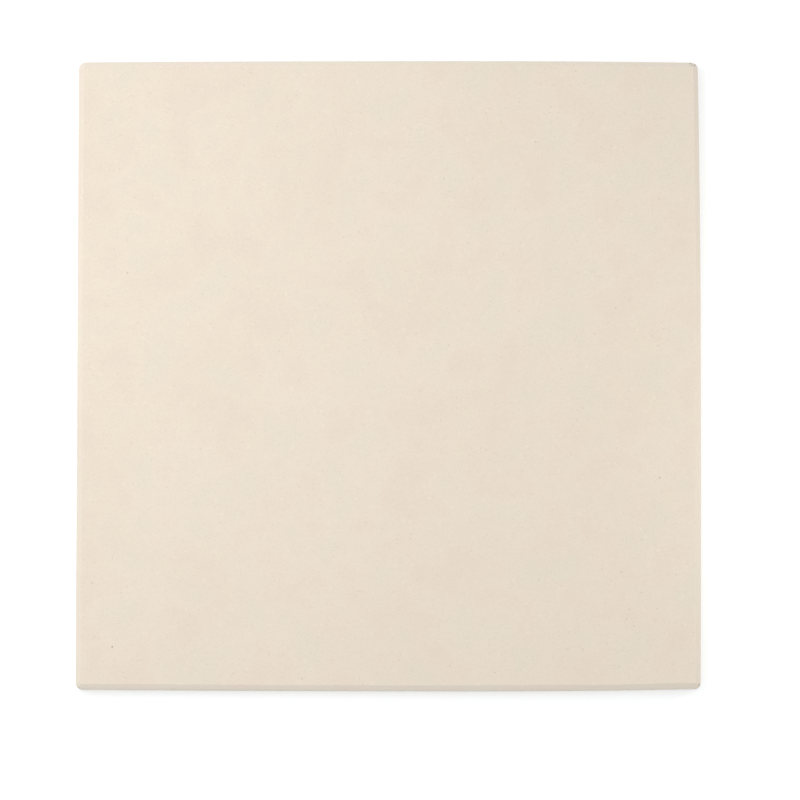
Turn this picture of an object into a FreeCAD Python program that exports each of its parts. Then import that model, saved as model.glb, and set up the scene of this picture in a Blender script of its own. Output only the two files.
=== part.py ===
# Nearly square baking stone: one slab of pressed and fired cordierite.
# Millimetres, +Z up. The origin is the centre of the underside, the face that lies on the rack.

import FreeCAD
import Part
import Sketcher
import math
import os

# Driving dimensions of the slab, each with what it measures.
SIZES = (
    ("stone_width", 381.0, "over the left and right walls, 15 inches"),
    ("stone_depth", 386.5, "over the front and back walls, a little longer as fired"),
    ("stone_thickness", 15.0, "underside to baking face"),
    ("face_corner_radius", 0.8, "corners of the baking face, inside the bevel"),
    ("top_bevel", 3.2, "45 degree bevel round the baking face, along the face"),
    ("face_ease", 0.9, "radius that softens the top bevel's edge at the baking face"),
    ("wall_ease", 3.0, "radius over which the top bevel rolls into the walls"),
    ("base_bevel", 1.5, "45 degree bevel round the underside, along the underside"),
    ("base_ease", 0.6, "radius that softens both edges of the base bevel"),
)
# The bevel goes round the corners at an even width, so the walls' corners are larger by that much.
WALL_CORNER = "Sizes.face_corner_radius + Sizes.top_bevel"


def write_sheet(doc):
    """Put the driving dimensions in a sheet, one aliased cell each."""
    sheet = doc.addObject("Spreadsheet::Sheet", "Sizes")
    for row, (alias, value, meaning) in enumerate(SIZES, start=1):
        sheet.set(f"A{row}", alias)
        sheet.set(f"B{row}", str(value))
        sheet.set(f"C{row}", meaning)
        sheet.setAlias(f"B{row}", alias)
    doc.recompute()
    return sheet


def origin_plane(body, role):
    """The body's own origin plane with this role."""
    return next(plane for plane in body.Origin.OriginFeatures if plane.Role == role)


def draw_outline(body, sheet):
    """Sketch the outline of the walls on the underside: centred, nearly square, with round corners."""
    sketch = body.newObject("Sketcher::SketchObject", "WallOutline")
    sketch.AttachmentSupport = [(origin_plane(body, "XY_Plane"), "")]
    sketch.MapMode = "FlatFace"

    half_x = sheet.stone_width / 2
    half_y = sheet.stone_depth / 2
    radius = sheet.face_corner_radius + sheet.top_bevel
    inner_x = half_x - radius
    inner_y = half_y - radius
    quarter = math.pi / 2

    # Walls run anticlockwise from the front, and each is followed by the corner at its end.
    spans = [(-inner_x, -half_y, inner_x, -half_y), (half_x, -inner_y, half_x, inner_y)]
    spans += [(-x0, -y0, -x1, -y1) for x0, y0, x1, y1 in spans]
    for x0, y0, x1, y1 in spans:
        wall = Part.LineSegment(FreeCAD.Vector(x0, y0, 0), FreeCAD.Vector(x1, y1, 0))
        sketch.addGeometry(wall, False)
    centres = [(inner_x, -inner_y), (inner_x, inner_y), (-inner_x, inner_y), (-inner_x, -inner_y)]
    for turn, (x, y) in enumerate(centres):
        circle = Part.Circle(FreeCAD.Vector(x, y, 0), FreeCAD.Vector(0, 0, 1), radius)
        corner = Part.ArcOfCircle(circle, (turn - 1) * quarter, turn * quarter)
        sketch.addGeometry(corner, False)

    walls = front, right, back, left = range(4)
    corners = range(4, 8)
    start, end, centre = 1, 2, 3
    origin_point = (-1, 1)
    rules = [("Horizontal", front), ("Horizontal", back), ("Vertical", right), ("Vertical", left)]
    for wall, corner in zip(walls, corners):
        following = walls[(wall + 1) % len(walls)]
        rules.append(("Tangent", wall, end, corner, start))
        rules.append(("Tangent", corner, end, following, start))
    rules += [("Equal", corners[0], corner) for corner in corners[1:]]
    rules.append(("Symmetric", corners[0], centre, corners[2], centre, *origin_point))
    for rule in rules:
        sketch.addConstraint(Sketcher.Constraint(*rule))

    measures = (
        ("slab_width", ("DistanceX", left, start, right, start, sheet.stone_width), "Sizes.stone_width"),
        ("slab_depth", ("DistanceY", front, start, back, start, sheet.stone_depth), "Sizes.stone_depth"),
        ("wall_corner", ("Radius", corners[0], radius), WALL_CORNER),
    )
    for name, measure, expression in measures:
        index = sketch.addConstraint(Sketcher.Constraint(*measure))
        sketch.renameConstraint(index, name)
        sketch.setExpression(f"Constraints.{name}", expression)
    return sketch


def loop_edges(feature, levels):
    """Names of the edges that run round the slab at these heights."""
    reach = Part.Precision.approximation()
    names = []
    for number, edge in enumerate(feature.Shape.Edges, start=1):
        heights = [vertex.Z for vertex in edge.Vertexes]
        if any(all(abs(z - level) < reach for z in heights) for level in levels):
            names.append(f"Edge{number}")
    return names


def dress_edges(body, kind, name, levels, measure, alias):
    """Bevel or round the loops of edges at these heights."""
    base = body.Tip
    feature = body.newObject(kind, name)
    feature.Base = (base, loop_edges(base, levels))
    feature.setExpression(measure, f"Sizes.{alias}")
    body.Document.recompute()


def make_slab(doc, sheet):
    """The whole stone: a pressed slab, bevelled and softened round both faces."""
    body = doc.addObject("PartDesign::Body", "StoneSlab")
    body.Label = "stone_slab"
    outline = draw_outline(body, sheet)
    slab = body.newObject("PartDesign::Pad", "PressedSlab")
    slab.Profile = outline
    slab.setExpression("Length", "Sizes.stone_thickness")
    doc.recompute()

    top = sheet.stone_thickness
    bevel_foot = top - sheet.top_bevel
    base_loops = (0, sheet.base_bevel)
    dress_edges(body, "PartDesign::Chamfer", "TopBevel", (top,), "Size", "top_bevel")
    dress_edges(body, "PartDesign::Fillet", "FaceEase", (top,), "Radius", "face_ease")
    dress_edges(body, "PartDesign::Fillet", "WallEase", (bevel_foot,), "Radius", "wall_ease")
    dress_edges(body, "PartDesign::Chamfer", "BaseBevel", base_loops[:1], "Size", "base_bevel")
    dress_edges(body, "PartDesign::Fillet", "BaseEase", base_loops, "Radius", "base_ease")
    return body


def check(doc, bodies):
    """Stop if any object failed to compute or a body has no sound solid."""
    for item in doc.Objects:
        if "Invalid" in item.State or "Error" in item.State:
            raise RuntimeError(f"{item.Label} failed: {item.State}")
    for body in bodies:
        if body.Shape.isNull() or not body.Shape.isValid():
            raise RuntimeError(f"{body.Label} has no valid shape")


def main():
    doc = FreeCAD.newDocument("BakingStone")
    sheet = write_sheet(doc)
    bodies = [make_slab(doc, sheet)]
    doc.recompute()
    check(doc, bodies)
    os.makedirs("parts", exist_ok=True)
    for body in bodies:
        body.Shape.exportStep(os.path.join("parts", f"{body.Label}.step"))
        print(body.Label, f"{body.Shape.Volume:.1f} mm3", body.Shape.BoundBox)


main()
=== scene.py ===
# Nearly square baking stone of unglazed cordierite: the dressed slab, its floor, soft light and camera.
# Metres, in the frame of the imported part: +Z up, origin at the centre of the underside.

import math
import random

import bpy
import numpy as np
from mathutils import Matrix, Vector, noise
from mathutils.geometry import delaunay_2d_cdt


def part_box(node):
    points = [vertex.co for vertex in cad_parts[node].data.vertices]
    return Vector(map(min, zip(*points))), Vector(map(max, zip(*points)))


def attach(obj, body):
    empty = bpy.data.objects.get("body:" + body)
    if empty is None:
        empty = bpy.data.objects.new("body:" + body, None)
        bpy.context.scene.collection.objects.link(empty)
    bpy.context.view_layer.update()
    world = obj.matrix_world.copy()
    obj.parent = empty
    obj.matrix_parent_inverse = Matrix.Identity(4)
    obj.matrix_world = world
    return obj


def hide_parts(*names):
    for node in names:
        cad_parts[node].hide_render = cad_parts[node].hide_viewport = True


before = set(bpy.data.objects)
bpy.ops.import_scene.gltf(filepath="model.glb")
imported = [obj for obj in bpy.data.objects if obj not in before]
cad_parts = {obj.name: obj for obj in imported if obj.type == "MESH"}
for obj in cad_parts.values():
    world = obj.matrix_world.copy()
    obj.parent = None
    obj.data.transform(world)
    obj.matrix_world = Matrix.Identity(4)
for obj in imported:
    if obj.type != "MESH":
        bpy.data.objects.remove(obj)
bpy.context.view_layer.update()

low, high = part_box("stone_slab")
SLAB = (high - low).to_2d()
HALF_SLAB = SLAB / 2
THICKNESS = high.z - low.z
CENTRE = (low + high) / 2
MM = 0.001

# Edge sizes of the slab, as the solid has them.
TOP_BEVEL = 3.2 * MM
FACE_EASE = 0.9 * MM
WALL_EASE = 3.0 * MM
BASE_BEVEL = 1.5 * MM
BASE_EASE = 0.6 * MM
FACE_CORNER = 0.8 * MM
WALL_CORNER = FACE_CORNER + TOP_BEVEL
CORNER_REACH = HALF_SLAB - Vector((WALL_CORNER, WALL_CORNER))

# How drying, firing and fettling by hand leave the slab a little off its true shape.
# Each corner, keyed by whether it is right and back, is drawn in across and along, so the sides bow.
CORNER_DRAW = {
    (True, True): (1.10 * MM, 0.90 * MM),
    (False, True): (0.0, 1.00 * MM),
    (False, False): (0.0, 0.90 * MM),
    (True, False): (1.10 * MM, 1.45 * MM),
}
# Where the sides bow out furthest, right of and behind the middle, as shares of the half slab.
BOW_CREST_SHARES = (0.3, 0.2)
# How much fuller than round each corner is, from front right anticlockwise, as a share of its radius.
CORNER_FULLNESS_SHARES = (0.11, 0.0, 0.0, 0.05)
# How deep and how long the waves of both faces are.
FACE_WARP = 0.12 * MM
WARP_LENGTH = 90 * MM
# How far the top bevel's width wanders, and over what length.
BEVEL_WANDER_SHARE = 0.09
WANDER_LENGTH = 35 * MM
# How far beside the bevels the rubbing of hands fades out.
RUBBED_FADE = 0.8 * MM

# Mesh steps.
EASE_STEPS = 6
CORNER_STEPS = 16
PROFILE_STEP = 1.0 * MM
WALL_STEP = 3.0 * MM
FINE_STEP = 0.4 * MM
STEP_GROWTH = 0.3
FACE_STEP = 3.0 * MM
HOLDING_LOOPS = (0.5 * MM, 1.4 * MM)
# Rings of points in and round a pit, and the room kept clear for them, in its radii.
PIT_RINGS = (0.3, 0.6, 0.85, 1.05, 1.35)
PIT_CLEAR = 2
PIT_SPOKES = 12
# A face is filled with triangles inside its border alone, and points closer than this become one.
FILL_INSIDE = 1
FILL_REACH = 1e-7

# Pits that show in the baking face: x and y as shares of the slab from its middle, radius, depth, and
# darkening of the pit, partly burnt-out residue and partly painted shade.
PITS = (
    (-0.4415, -0.4335, 0.53 * MM, 0.55 * MM, 0.95),
    (-0.139, -0.482, 0.55 * MM, 0.35 * MM, 0.25),
    (-0.422, -0.481, 0.55 * MM, 0.25 * MM, 0.12),
    (-0.474, -0.333, 0.60 * MM, 0.30 * MM, 0.3),
    (-0.420, 0.160, 0.60 * MM, 0.30 * MM, 0.3),
    (-0.234, 0.460, 0.55 * MM, 0.25 * MM, 0.2),
    (0.169, -0.472, 0.60 * MM, 0.30 * MM, 0.2),
    (0.209, 0.433, 0.50 * MM, 0.25 * MM, 0.2),
    (0.433, -0.166, 0.60 * MM, 0.35 * MM, 0.3),
    (0.036, -0.470, 0.50 * MM, 0.25 * MM, 0.2),
    (0.236, 0.369, 0.55 * MM, 0.30 * MM, 0.3),
    (-0.384, 0.448, 0.50 * MM, 0.25 * MM, 0.2),
    (0.379, -0.389, 0.55 * MM, 0.25 * MM, 0.2),
)
# Smaller pits lie all over both faces, and none is nearer to another than the room, in their radii.
SMALL_PITS_TOP = 45
SMALL_PITS_BASE = 70
SMALL_PIT_RADIUS = (0.25 * MM, 0.45 * MM)
SMALL_PIT_DEPTH_SHARE = 0.5
# How dark a small pit is painted at most: burnt-out residue and painted shade in the pit.
SMALL_PIT_DARKENING = 0.12
PIT_ROOM = 3
# Pits have ragged rims: the number of lobes, and how far they stand out as a share of the radius.
PIT_LOBES = ((2, 0.16), (3, 0.10))
PIT_STEEPNESS = 1.5

# Chips and wear of the edges: x and y as shares of the slab from its middle, drop below the baking face,
# radius, depth, and darkening of the chip, which is painted shade.
CHIPS = (
    (0.488, 0.498, 2.5 * MM, 1.0 * MM, 0.25 * MM, 0.50),
    (0.490, 0.495, 1.2 * MM, 0.8 * MM, 0.25 * MM, 0.45),
    (0.495, 0.495, 2.3 * MM, 0.9 * MM, 0.25 * MM, 0.50),
    (0.497, -0.495, 2.8 * MM, 1.0 * MM, 0.25 * MM, 0.40),
    (-0.494, -0.498, 2.9 * MM, 0.9 * MM, 0.15 * MM, 0.20),
    (-0.496, 0.496, 3.0 * MM, 4.0 * MM, 0.20 * MM, 0.0),
    (-0.345, -0.498, 3.4 * MM, 1.2 * MM, 0.25 * MM, 0.05),
    (-0.499, 0.231, 3.4 * MM, 1.0 * MM, 0.25 * MM, 0.05),
    (0.287, 0.499, 3.4 * MM, 1.2 * MM, 0.30 * MM, 0.05),
    (0.498, 0.152, 14.3 * MM, 1.3 * MM, 0.35 * MM, 0.08),
    (-0.221, -0.498, 14.2 * MM, 1.2 * MM, 0.30 * MM, 0.08),
    (-0.497, 0.496, 14.0 * MM, 1.5 * MM, 0.40 * MM, 0.08),
)

# Places on the bake map: a wide square for the baking face, a small one for the underside, four strips.
MAP_GAP = 0.008
TOP_MAP_SHARE = 0.74
BASE_MAP_SHARE = 0.235
STRIP_SCALE = TOP_MAP_SHARE / SLAB.x

# Sizes in the fired body: the width of each kind of mottling, and its levels of finer detail.
CLOUDS = (45 * MM, 3)
KILN_PATCHES = (22 * MM, 1)
# Granules are about 0.3 mm, drawn three times coarser so that they show.
GRANULES = (0.9 * MM, 2)
SAND = (2.6 * MM, 3)
# Grains scattered through the body: their spacing, largest radius and how wide their soft rim is.
IRON_SPECKS = (11 * MM, 0.9 * MM, 0.2 * MM)
GROG = (4.5 * MM, 1.6 * MM, 0.5 * MM)
PINHOLES = (3.5 * MM, 0.6 * MM, 0.15 * MM)
# Drag lines on the walls: how far apart they are, and how long.
DRAG_GAP = 1.2 * MM
DRAG_LENGTH = 40 * MM
# How far up the surface faces where the finish of the walls, or of the underside, begins and is full.
WALL_FACING = (0.5, 0.1)
UNDERSIDE_FACING = (-0.5, -0.95)

# Where the photograph has the middle of the slab, and how the camera stands to it.
PICTURE_SIZE = 800
SLAB_SPAN_PX = 623.4
SLAB_MIDDLE_PX = (389.2, 374.7)
LENS_MM = 260.0
SENSOR_MM = 36.0
LEAN_FRONT_DEG = 5.4
LEAN_LEFT_DEG = 0.3

# Light: even surroundings, and soft boxes, each with its place, width, power and colour.
AMBIENT = 0.745
LAMPS = {
    "key_light": ((-0.30, 0.12, 0.60), 0.6, 1.82, "#FFFFFF"),
    "fill_light": ((0.42, -0.05, 0.10), 0.12, 0.19, "#FFFAF2"),
}

# The board that the camera sees as white: how far it is lifted near and far, and where the lift rises.
BOARD_SIZE = 12.0
BOARD_COLOUR = "#E6EAEC"
NEAR_LIFT = 0.35
FAR_LIFT = 0.44
LIFT_REACH = (0.28, 0.9)

rng = random.Random(15)


def linear(hex_colour):
    """An sRGB hex colour as the linear RGBA that shaders take."""
    channels = [int(hex_colour[i:i + 2], 16) / 255 for i in (1, 3, 5)]
    return [c / 12.92 if c <= 0.04045 else ((c + 0.055) / 1.055) ** 2.4 for c in channels] + [1.0]


def add_node(tree, kind, inputs=(), **properties):
    """Add a node and return its outputs. An input, by name or number, takes a value or another output."""
    node = tree.nodes.new(kind)
    for name, value in properties.items():
        setattr(node, name, value)
    for socket, value in dict(inputs).items():
        if isinstance(value, bpy.types.NodeSocket):
            tree.links.new(value, node.inputs[socket])
        else:
            node.inputs[socket].default_value = value
    return node.outputs


def new_material(name):
    """An empty node material and its tree."""
    material = bpy.data.materials.new(name)
    material.use_nodes = True
    material.node_tree.nodes.clear()
    return material, material.node_tree


def eased(corners, radii):
    """A line of 2-D points through these corners, each inner one rounded to its radius."""
    path = []
    for before, corner, after, radius in zip(corners, corners[1:], corners[2:], radii):
        to_before = (before - corner).normalized()
        to_after = (after - corner).normalized()
        half_angle = to_before.angle(to_after) / 2
        centre = corner + (to_before + to_after).normalized() * radius / math.sin(half_angle)
        reach = radius / math.tan(half_angle)
        start = corner + to_before * reach - centre
        end = corner + to_after * reach - centre
        path += [centre + start.slerp(end, i / EASE_STEPS) * radius for i in range(EASE_STEPS + 1)]
    return path


def arrises():
    """The slab's four sharp edges before they are eased, from below, as (inset from the wall, height)."""
    return [
        Vector((BASE_BEVEL, 0)),
        Vector((0, BASE_BEVEL)),
        Vector((0, THICKNESS - TOP_BEVEL)),
        Vector((TOP_BEVEL, THICKNESS)),
    ]


def rubbed_share(spot):
    """How rubbed the edge is at a spot of its profile: fully on both bevels, fading out beside them."""
    base_foot, base_head, top_foot, top_head = arrises()
    shares = []
    for foot, head in ((base_foot, base_head), (top_foot, top_head)):
        beside = max(0, (spot - (foot + head) / 2).length - (head - foot).length / 2)
        shares.append(math.exp(-(beside / RUBBED_FADE) ** 2))
    return max(shares)


def edge_profile():
    """The slab's edge from underside to baking face, as (inset from the wall, height)."""
    corners = [Vector((HALF_SLAB.x, 0)), *arrises(), Vector((HALF_SLAB.x, THICKNESS))]
    path = eased(corners, (BASE_EASE, BASE_EASE, WALL_EASE, FACE_EASE))
    profile = path[:1]
    for start, end in zip(path, path[1:]):
        steps = math.ceil((end - start).length / PROFILE_STEP)
        profile += [start.lerp(end, i / steps) for i in range(1, steps + 1)]
    return profile


def turned(point, quarters):
    """A 2-D point after this many quarter turns, anticlockwise."""
    for _ in range(quarters % 4):
        point = Vector((-point.y, point.x))
    return point


def wall_reach(wall):
    """Half the straight length of one wall, and how far out its corners' centres are from the middle."""
    return CORNER_REACH[wall % 2], CORNER_REACH[1 - wall % 2]


def wall_places(wall):
    """Places along one wall, closer together near its corners and chips."""
    half_length, stand_off = wall_reach(wall)
    marks = [-half_length, half_length]
    for x, y, *_ in CHIPS:
        chip = turned(Vector((x, y)) * SLAB, -wall)
        if chip.y < -stand_off:
            marks.append(chip.x)
    places = [-half_length]
    while places[-1] < half_length:
        gap = min(abs(places[-1] - mark) for mark in marks)
        places.append(places[-1] + min(WALL_STEP, FINE_STEP + gap * STEP_GROWTH))
    stretch = 2 * half_length / (places[-1] + half_length)
    return [(place + half_length) * stretch - half_length for place in places[:-1]]


def outline_stations():
    """Stations round the slab: wall number, distance along that wall, place on the rectangle through the
    corners' centres, and the way out of the slab, longer where a corner is full."""
    stations = []
    for wall in range(4):
        half_length, stand_off = wall_reach(wall)
        spots = [(x, 0.0, x + half_length) for x in wall_places(wall)]
        for i in range(CORNER_STEPS):
            turn = math.pi / 2 * i / CORNER_STEPS
            spots.append((half_length, turn, 2 * half_length + WALL_CORNER * turn))
        for x, turn, run in spots:
            fullness = 1 + CORNER_FULLNESS_SHARES[wall] * math.sin(2 * turn) ** 2
            out = Vector((math.sin(turn), -math.cos(turn))) * fullness
            stations.append((wall, run, turned(Vector((x, -stand_off)), wall), turned(out, wall)))
    return stations


def edge_rings(stations):
    """Rings of points round the slab, from inside the underside's border to inside the baking face's, each
    with its (inset, height). The top bevel's width wanders as a hand left it."""
    points = np.array([point for _, _, point, _ in stations])
    outs = np.array([out for *_, out in stations])
    wander = [noise.noise(point.to_3d() / WANDER_LENGTH) for _, _, point, _ in stations]
    widths = 1 + BEVEL_WANDER_SHARE * np.array(wander)
    rings = []
    for spot in edge_profile():
        inset = spot.x * np.where(spot.y > THICKNESS / 2, widths, 1)
        rings.append((points + outs * (WALL_CORNER - inset)[:, None], spot))
    for step in HOLDING_LOOPS:
        drawn_in = 1 - step / HALF_SLAB.x
        (base_loop, base_spot), (top_loop, top_spot) = rings[0], rings[-1]
        rings.insert(0, (base_loop * drawn_in, base_spot + Vector((step, 0))))
        rings.append((top_loop * drawn_in, top_spot + Vector((step, 0))))
    return rings


def face_points(border, pits):
    """Points that a face is filled through: an even grid inside its border, cleared round each pit, and
    the pits' middles and rings."""
    lines = []
    for reach in np.max(border, axis=0) - FACE_STEP / 2:
        lines.append(np.linspace(-reach, reach, int(2 * reach / FACE_STEP) + 1))
    grid = np.array([(x, y) for x in lines[0] for y in lines[1]])
    for place, radius, *_ in pits:
        clear = np.hypot(*(grid - place).T) > radius * PIT_CLEAR
        grid = grid[clear]
    points = [Vector(point) for point in grid]
    for place, radius, *_ in pits:
        points.append(place)
        for ring in PIT_RINGS:
            for spoke in range(PIT_SPOKES):
                angle = 2 * math.pi * spoke / PIT_SPOKES
                points.append(place + Vector((math.cos(angle), math.sin(angle))) * radius * ring)
    return points


def scattered_pits(count, taken):
    """The pits taken already and this many small ones, at random places with room between them."""
    room = CORNER_REACH - Vector((FACE_STEP, FACE_STEP))
    pits = list(taken)
    while len(pits) < len(taken) + count:
        place = Vector([rng.uniform(-reach, reach) for reach in room])
        radius = rng.uniform(*SMALL_PIT_RADIUS)
        if all((place - other).length > PIT_ROOM * (radius + wide) for other, wide, *_ in pits):
            pits.append((place, radius, radius * SMALL_PIT_DEPTH_SHARE, rng.uniform(0, SMALL_PIT_DARKENING)))
    return pits


def face_map(x, y, top):
    """A point's place on the bake map, by its place on the baking face or the underside."""
    across, along = x / SLAB.x, y / SLAB.y
    if top:
        return MAP_GAP + (0.5 + across) * TOP_MAP_SHARE, MAP_GAP + (0.5 + along) * TOP_MAP_SHARE
    above = TOP_MAP_SHARE + 2 * MAP_GAP
    return MAP_GAP + (0.5 - across) * BASE_MAP_SHARE, above + (0.5 + along) * BASE_MAP_SHARE


def slab_mesh(top_pits, base_pits):
    """One closed mesh, swept round the edge and filled across both faces: its points, faces, places on the
    bake map, and how rubbed each point is."""
    stations = outline_stations()
    rings = edge_rings(stations)
    columns = len(stations)
    verts = [(x, y, spot.y) for flat, spot in rings for x, y in flat]
    rubbed = np.repeat([rubbed_share(spot) for _, spot in rings], columns).tolist()
    climbs = [0.0]
    for (_, before), (_, after) in zip(rings, rings[1:]):
        climbs.append(climbs[-1] + (after - before).length)
    strip_width = climbs[-1] * STRIP_SCALE + MAP_GAP

    faces = []
    places = []
    for ring in range(len(rings) - 1):
        heights = {rings[ring][1].y, rings[ring + 1][1].y}
        for column, (wall, run, *_) in enumerate(stations):
            after = (column + 1) % columns
            face = [ring * columns + column, ring * columns + after]
            face += [face[1] + columns, face[0] + columns]
            faces.append(face)
            if len(heights) == 1:
                places += [face_map(*verts[i][:2], top=heights == {THICKNESS}) for i in face]
                continue
            left = TOP_MAP_SHARE + 2 * MAP_GAP + (wall + 1) * strip_width - MAP_GAP
            strip_length = 2 * wall_reach(wall)[0] + WALL_CORNER * math.pi / 2
            ends = [MAP_GAP + r * STRIP_SCALE for r in (run, stations[after][1] or strip_length)]
            sides = [left - climbs[r] * STRIP_SCALE for r in (ring, ring + 1)]
            places += [(sides[0], ends[0]), (sides[0], ends[1]), (sides[1], ends[1]), (sides[1], ends[0])]

    for first, height, pits in ((0, 0.0, base_pits), (len(verts) - columns, THICKNESS, top_pits)):
        border = [Vector(vert[:2]) for vert in verts[first:first + columns]]
        inner = face_points(border, pits)
        loop = [list(range(columns))]
        filled = delaunay_2d_cdt(border + inner, [], loop, FILL_INSIDE, FILL_REACH)
        points, _, triangles, sources, _, _ = filled
        index = []
        for point, source in zip(points, sources):
            if source and source[0] < columns:
                index.append(first + source[0])
            else:
                index.append(len(verts))
                verts.append((point.x, point.y, height))
                rubbed.append(0.0)
        for triangle in triangles:
            face = [index[i] for i in triangle]
            faces.append(face if height else face[::-1])
            places += [face_map(*verts[i][:2], top=height > 0) for i in faces[-1]]
    return np.array(verts), faces, np.array(places), np.array(rubbed)


def settled(verts):
    """The slab after the kiln: corners drawn in so that the sides bow out, and both faces slightly wavy."""
    shape = verts.copy()
    shares = verts[:, :2] / HALF_SLAB
    crest = np.array(BOW_CREST_SHARES)
    across, along = ((shares - crest) / np.where(shares > crest, 1 - crest, 1 + crest)).T
    for (right, back), (draw_x, draw_y) in CORNER_DRAW.items():
        quarter = ((across > 0) == right) & ((along > 0) == back)
        shape[:, 0] -= quarter * draw_x * across * along ** 2
        shape[:, 1] -= quarter * draw_y * along * across ** 2
    waves = np.array([noise.noise(Vector(vert) / WARP_LENGTH) for vert in verts])
    up = verts[:, 2] / THICKNESS
    shape[:, 2] += FACE_WARP * (1 + waves) / 2 * (1 - 2 * up)
    return shape


def sink_pits(shape, verts, pits, height):
    """Sink pits into the face at this height, and return how dark each point is painted: burnt-out residue
    and painted shade in the pits.
    """
    burn_and_shade = np.zeros(len(verts))
    face = np.flatnonzero(np.isclose(verts[:, 2], height))
    inward = -1 if height else 1
    for place, radius, depth, darkening in pits:
        across, along = (verts[face, :2] - place).T
        angle = np.arctan2(along, across)
        ragged = np.ones(len(face))
        for (lobes, reach), shift in zip(PIT_LOBES, place):
            ragged += reach * np.sin(lobes * angle + shift / MM)
        away = np.hypot(across, along) / (radius * ragged)
        share = np.clip(1 - away ** 2, 0, None)
        shape[face, 2] += inward * depth * share ** PIT_STEEPNESS
        burn_and_shade[face] += darkening * share
    return burn_and_shade


def chip_edges(shape, verts):
    """Knock the chips out of the edges, towards the slab's body, and return how much painted shade darkens
    each point.
    """
    burn_and_shade = np.zeros(len(verts))
    for x, y, drop, radius, depth, darkening in CHIPS:
        spot = Vector((x * SLAB.x, y * SLAB.y, THICKNESS - drop))
        body = Vector([max(-reach, min(reach, c)) for c, reach in zip(spot, CORNER_REACH)]).to_3d()
        body.z = max(TOP_BEVEL, min(THICKNESS - TOP_BEVEL, spot.z))
        away = np.linalg.norm(verts - spot, axis=1) / radius
        share = np.clip(1 - away ** 2, 0, None)
        shape += np.outer(depth * share, (body - spot).normalized())
        burn_and_shade += darkening * share
    return burn_and_shade


def make_slab():
    """The stone: the slab's mesh, settled, pitted and chipped, in place of its solid."""
    shown = [(Vector((x, y)) * SLAB, *pit) for x, y, *pit in PITS]
    top_pits = scattered_pits(SMALL_PITS_TOP, shown)
    base_pits = scattered_pits(SMALL_PITS_BASE, [])
    verts, faces, places, rubbed = slab_mesh(top_pits, base_pits)
    shape = settled(verts)
    burn_and_shade = chip_edges(shape, verts)
    burn_and_shade += sink_pits(shape, verts, top_pits, THICKNESS) + sink_pits(shape, verts, base_pits, 0.0)
    mesh = bpy.data.meshes.new("stone")
    mesh.from_pydata(shape.tolist(), [], faces)
    mesh.uv_layers.new(name="OFBake").uv.foreach_set("vector", places.ravel())
    for name, values in (("rubbed", rubbed), ("burn_and_shade", burn_and_shade)):
        mesh.attributes.new(name, "FLOAT", "POINT").data.foreach_set("value", values)
    mesh.shade_smooth()
    stone = bpy.data.objects.new("stone", mesh)
    bpy.context.collection.objects.link(stone)
    return stone


def scattered_grains(tree, place, spacing, radius, soft):
    """Mask of round dots: grains scattered through the body, cut where the surface passes through them."""
    cells = add_node(tree, "ShaderNodeTexVoronoi", {"Vector": place, "Scale": 1 / spacing})
    by_chance = {0: cells["Color"], 1: radius / spacing}
    size = add_node(tree, "ShaderNodeMath", by_chance, operation="MULTIPLY")[0]
    within = add_node(tree, "ShaderNodeMath", {0: size, 1: cells["Distance"]}, operation="SUBTRACT")[0]
    inside = {0: within, 1: spacing / soft}
    return add_node(tree, "ShaderNodeMath", inside, operation="MULTIPLY", use_clamp=True)[0]


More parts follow.
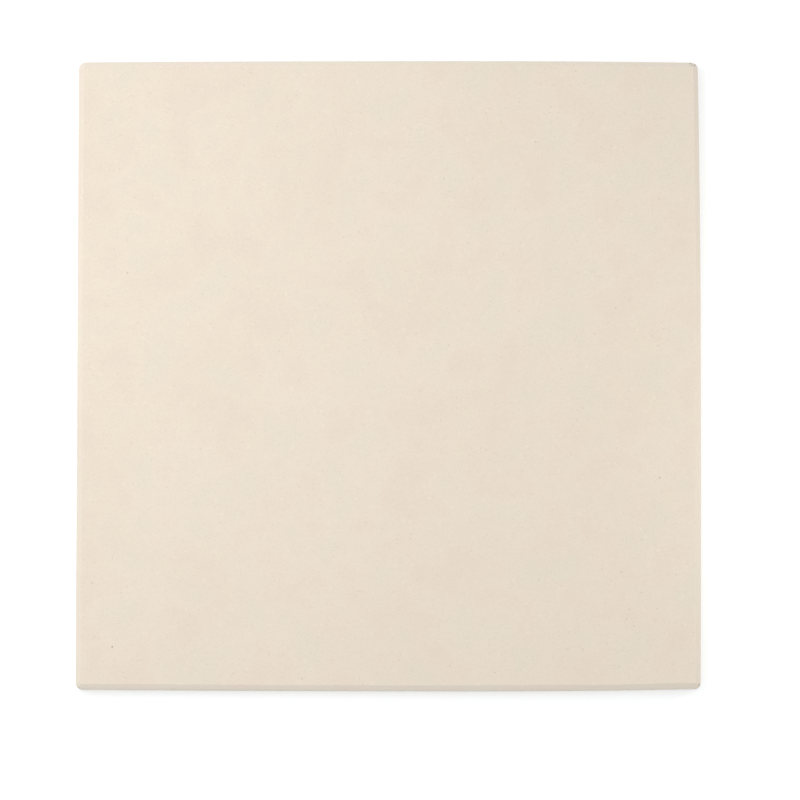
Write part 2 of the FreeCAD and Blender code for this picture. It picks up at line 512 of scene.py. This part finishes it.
def dry_pressed_cordierite():
    """Unglazed cordierite, dry-pressed in a die and fired: a chalky cream body without gloss. The eye gets
    faint clouds where the powder filled the die unevenly, warmer and cooler patches from the kiln, sandy
    granules, a few iron specks, pale grog, pinholes darkened with painted shade, drag lines where the walls
    left the die, paler edges where hands rub, and pits and chips darkened with painted shade, the pits also
    by what burnt out of the body."""
    material, tree = new_material("dry_pressed_cordierite")
    coords = add_node(tree, "ShaderNodeTexCoord")
    place = coords["Object"]
    upward = add_node(tree, "ShaderNodeSeparateXYZ", {0: coords["Normal"]})["Z"]
    flatness = add_node(tree, "ShaderNodeMath", {0: upward}, operation="ABSOLUTE")[0]

    mottling = []
    for width, detail in (CLOUDS, KILN_PATCHES, GRANULES, SAND):
        pattern = {"Vector": place, "Scale": 1 / width, "Detail": detail}
        mottling.append(add_node(tree, "ShaderNodeTexNoise", pattern)[0])
    clouds, patches, grain, sand = mottling
    kinds = (IRON_SPECKS, GROG, PINHOLES)
    specks, grog, pinholes = [scattered_grains(tree, place, *kind) for kind in kinds]

    # Drag lines run the full height of the walls, and the kiln's setter leaves the underside sandy.
    finishes = []
    for facing, (begins, full) in ((flatness, WALL_FACING), (upward, UNDERSIDE_FACING)):
        fade = {"Value": facing, "From Min": begins, "From Max": full}
        finishes.append(add_node(tree, "ShaderNodeMapRange", fade)[0])
    wall, underside = finishes
    stretched = {"Vector": place, "Scale": (1 / DRAG_GAP, 1 / DRAG_GAP, 1 / DRAG_LENGTH)}
    drawn = add_node(tree, "ShaderNodeMapping", stretched)[0]
    lines = add_node(tree, "ShaderNodeTexNoise", {"Vector": drawn, "Scale": 1.0, "Detail": 2})[0]
    drag = add_node(tree, "ShaderNodeMath", {0: lines, 1: wall}, operation="MULTIPLY")[0]
    setter = add_node(tree, "ShaderNodeMath", {0: sand, 1: underside}, operation="MULTIPLY")[0]

    # Edges are rubbed in patches. Pits are darkened inside, partly by what burnt out of the body and partly
    # by painted shade, and chips by painted shade.
    touched = add_node(tree, "ShaderNodeAttribute", attribute_name="rubbed")["Fac"]
    rubbed = add_node(tree, "ShaderNodeMath", {0: touched, 1: sand}, operation="MULTIPLY")[0]
    burn_and_shade = add_node(tree, "ShaderNodeAttribute", attribute_name="burn_and_shade")["Fac"]

    # Each layer: its colour, what shows it, where that begins and is full, and how much shows at most.
    layers = (
        ("#E3D6C5", clouds, 0.40, 0.65, 0.15),
        ("#EADCCF", patches, 0.50, 0.68, 0.35),
        ("#E6E1D2", patches, 0.48, 0.30, 0.35),
        ("#DACDBB", grain, 0.50, 0.75, 0.35),
        ("#F3EADD", grog, 0.0, 1.0, 0.30),
        ("#C9B79F", setter, 0.35, 0.65, 0.60),
        ("#D3C2AA", drag, 0.45, 0.75, 0.22),
        ("#F4EEE4", rubbed, 0.10, 0.55, 0.08),
        # Pinholes are darkened with painted shade of the tiny holes.
        ("#A98F70", pinholes, 0.0, 1.0, 0.14),
        ("#8E6F50", specks, 0.0, 1.0, 0.15),
        # Painted shade in the chips and pits, with burnt-out residue in the pits.
        ("#6E5B49", burn_and_shade, 0.0, 0.8, 0.85),
    )
    colour = linear("#ECE2D4")
    for hex_colour, mask, begins, full, most in layers:
        fade = {"Value": mask, "From Min": begins, "From Max": full, "To Max": most}
        amount = add_node(tree, "ShaderNodeMapRange", fade)[0]
        mix = {0: amount, 6: colour, 7: linear(hex_colour)}
        colour = add_node(tree, "ShaderNodeMix", mix, data_type="RGBA")[2]

    # Heights of the fine relief.
    heights = (
        (grain, 0.04 * MM),
        (sand, 0.05 * MM),
        (pinholes, -0.12 * MM),
        (drag, 0.03 * MM),
        (setter, 0.15 * MM),
    )
    relief = 0.0
    for mask, height in heights:
        raised = {0: mask, 1: height, 2: relief}
        relief = add_node(tree, "ShaderNodeMath", raised, operation="MULTIPLY_ADD")[0]
    bump = add_node(tree, "ShaderNodeBump", {"Height": relief, "Distance": 1.0})[0]

    dryness = {"Value": grain, "From Min": 0.3, "From Max": 0.7, "To Min": 0.84, "To Max": 0.95}
    roughness = add_node(tree, "ShaderNodeMapRange", dryness)[0]
    body = {
        "Base Color": colour,
        "Roughness": roughness,
        "IOR": 1.54,
        "Diffuse Roughness": 0.6,
        "Normal": bump,
    }
    shader = add_node(tree, "ShaderNodeBsdfPrincipled", body)[0]
    add_node(tree, "ShaderNodeOutputMaterial", {"Surface": shader})
    return material


def seen_directly(tree):
    """1 for what is seen, straight or by way of a gloss or a clear body, and 0 for light that falls."""
    path = add_node(tree, "ShaderNodeLightPath")
    seen = add_node(tree, "ShaderNodeMath", {0: path["Is Camera Ray"], 1: path["Is Glossy Ray"]})[0]
    return add_node(tree, "ShaderNodeMath", {0: seen, 1: path["Is Transmission Ray"]})[0]


def matt_white_board():
    """Painted matt board: it looks white wherever the light is even, and keeps the stone's shadow. Away
    from the stone, where the lamps don't reach, it is lifted more, so that it stays white."""
    material, tree = new_material("matt_white_board")
    board = add_node(tree, "ShaderNodeBsdfDiffuse", {"Color": linear(BOARD_COLOUR)})[0]
    place = add_node(tree, "ShaderNodeTexCoord")["Object"]
    away = add_node(tree, "ShaderNodeVectorMath", {0: place}, operation="LENGTH")["Value"]
    near, far = LIFT_REACH
    rise = {"Value": away, "From Min": near, "From Max": far, "To Min": NEAR_LIFT, "To Max": FAR_LIFT}
    lift = add_node(tree, "ShaderNodeMapRange", rise)[0]
    strength = add_node(tree, "ShaderNodeMath", {0: seen_directly(tree), 1: lift}, operation="MULTIPLY")[0]
    glow = add_node(tree, "ShaderNodeEmission", {"Strength": strength})[0]
    both = add_node(tree, "ShaderNodeAddShader", {0: board, 1: glow})[0]
    add_node(tree, "ShaderNodeOutputMaterial", {"Surface": both})
    return material


def make_floor():
    """The board that the stone lies on."""
    bpy.ops.mesh.primitive_plane_add(size=BOARD_SIZE, location=(0, 0, low.z))
    floor = bpy.context.object
    floor.name = "floor"
    floor.data.materials.append(matt_white_board())


def make_lamp(name, place, size, power, colour):
    """A square soft box that faces the stone and that the camera doesn't see."""
    data = bpy.data.lights.new(name, "AREA")
    data.size = size
    data.energy = power
    data.color = linear(colour)[:3]
    lamp = bpy.data.objects.new(name, data)
    lamp.location = place
    lamp.rotation_euler = (CENTRE - Vector(place)).to_track_quat("-Z", "Y").to_euler()
    lamp.visible_camera = False
    bpy.context.collection.objects.link(lamp)


def make_world():
    """Even white surroundings: plain light on the stone, and white behind it."""
    world = bpy.data.worlds.new("studio")
    world.use_nodes = True
    tree = world.node_tree
    tree.nodes.clear()
    levels = {"Value": seen_directly(tree), "To Min": AMBIENT, "To Max": 1.0}
    level = add_node(tree, "ShaderNodeMapRange", levels)[0]
    white = add_node(tree, "ShaderNodeBackground", {"Color": linear("#FFFFFF"), "Strength": level})[0]
    add_node(tree, "ShaderNodeOutputWorld", {"Surface": white})
    bpy.context.scene.world = world


def make_camera():
    """Looks down on the stone, leaning a little to the front and left, as the photograph does."""
    focal_px = LENS_MM / SENSOR_MM * PICTURE_SIZE
    metres_per_px = SLAB.x / SLAB_SPAN_PX
    left = math.sin(math.radians(LEAN_LEFT_DEG))
    front = math.sin(math.radians(LEAN_FRONT_DEG))
    back = Vector((-left, -front, math.sqrt(1 - left ** 2 - front ** 2)))
    across = Vector((0, 1, 0)).cross(back).normalized()
    off_x = PICTURE_SIZE / 2 - SLAB_MIDDLE_PX[0]
    off_y = PICTURE_SIZE / 2 - SLAB_MIDDLE_PX[1]
    aim = CENTRE + Vector((off_x, -off_y, 0)) * metres_per_px
    data = bpy.data.cameras.new("camera")
    data.lens = LENS_MM
    data.sensor_width = SENSOR_MM
    camera = bpy.data.objects.new("camera", data)
    camera.location = aim + back * focal_px * metres_per_px
    camera.rotation_euler = Matrix((across, back.cross(across), back)).transposed().to_euler()
    bpy.context.collection.objects.link(camera)
    bpy.context.scene.camera = camera


stone = make_slab()
stone.data.materials.append(dry_pressed_cordierite())
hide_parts("stone_slab")
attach(stone, "root")
make_floor()
make_world()
for name, settings in LAMPS.items():
    make_lamp(name, *settings)
make_camera()
bpy.context.scene.view_settings.view_transform = "Standard"
